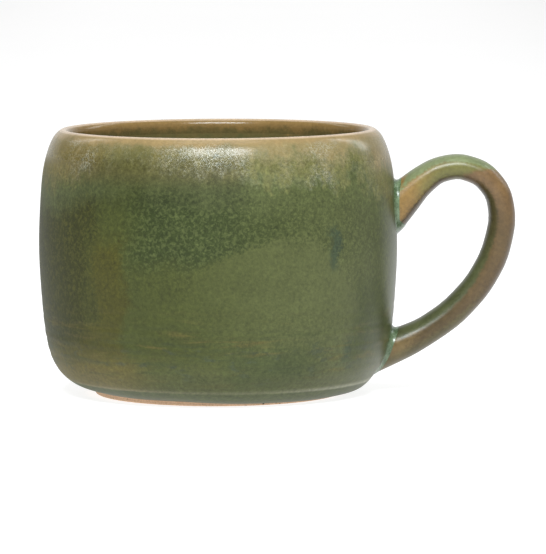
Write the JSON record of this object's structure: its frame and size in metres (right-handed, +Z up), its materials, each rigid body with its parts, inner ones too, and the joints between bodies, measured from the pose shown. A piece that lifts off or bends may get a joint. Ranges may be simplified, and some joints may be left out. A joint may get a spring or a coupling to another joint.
{
  "type": "ceramic mug",
  "caption": "Low, wide stoneware mug with softly rounded sides, a drawn-in lip, a round loop handle, a bare foot ring and a mottled green and ochre satin glaze.",
  "frame": {"origin": "on the table, under the middle of the mug's bounding box, so the cup's own axis is 16.7 mm away at x = -16.7 mm", "axes": "+X from the cup towards the handle, +Z up along the cup's axis, +Y completing the right-handed frame"},
  "size_m": [0.1344, 0.101, 0.0749],
  "materials": {
    "bare_stoneware": "matte",
    "joint_slip": "satin",
    "green_reactive_glaze": "satin",
    "olive_liner_glaze": "satin",
    "tan_base_glaze": "satin"
  },
  "bodies": {
    "root": {"body": "bare_stoneware", "foot_ring": "bare_stoneware", "handle": "bare_stoneware", "upper_joint": "joint_slip", "lower_joint": "joint_slip", "outer_glaze": "green_reactive_glaze", "handle_glaze": "green_reactive_glaze", "liner_glaze": "olive_liner_glaze", "base_glaze": "tan_base_glaze"}
  },
  "joints": []
}
